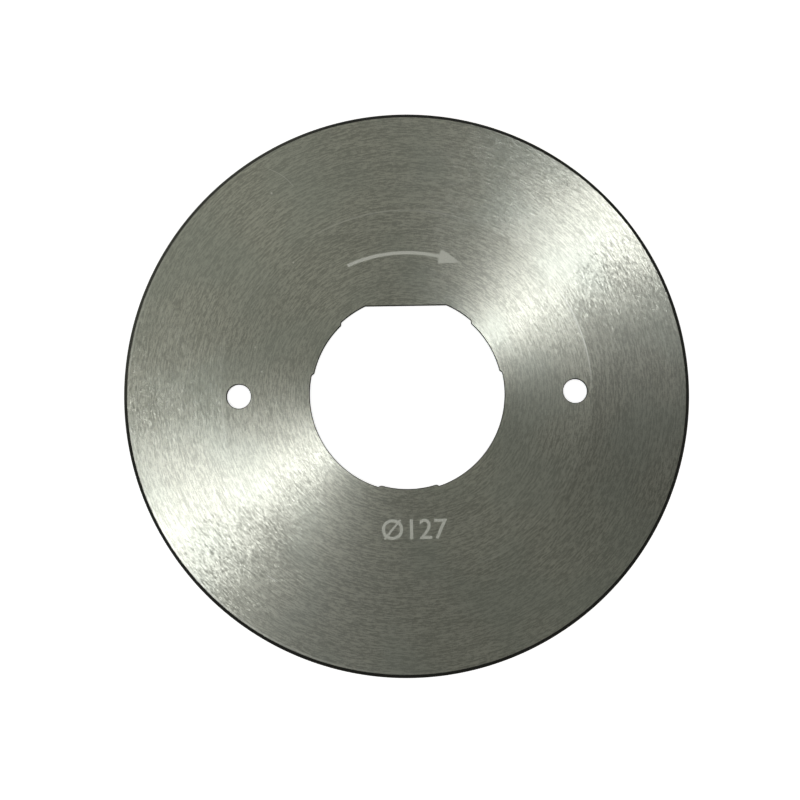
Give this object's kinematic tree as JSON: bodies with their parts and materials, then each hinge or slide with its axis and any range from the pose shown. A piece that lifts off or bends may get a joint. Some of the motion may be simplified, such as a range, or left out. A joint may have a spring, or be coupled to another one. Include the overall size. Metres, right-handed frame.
{
  "type": "rotary cutter blade",
  "caption": "Thin round knife blade with a bevelled edge, a tapered outer ring, a flatted bore with centring lands and small screw holes.",
  "frame": {"origin": "on the axis of rotation, at the level of the flat back face", "axes": "+Z along the axis of rotation, out of the front face that carries the taper and the bevel; +Y from the axis to the flat of the bore; the screw holes lie on the X axis"},
  "size_m": [0.127, 0.127, 0.0012],
  "materials": {
    "ground_steel": "hardened tool steel, ground and brushed in circles round the axis"
  },
  "bodies": {
    "root": {"blade": "ground_steel"}
  },
  "joints": []
}
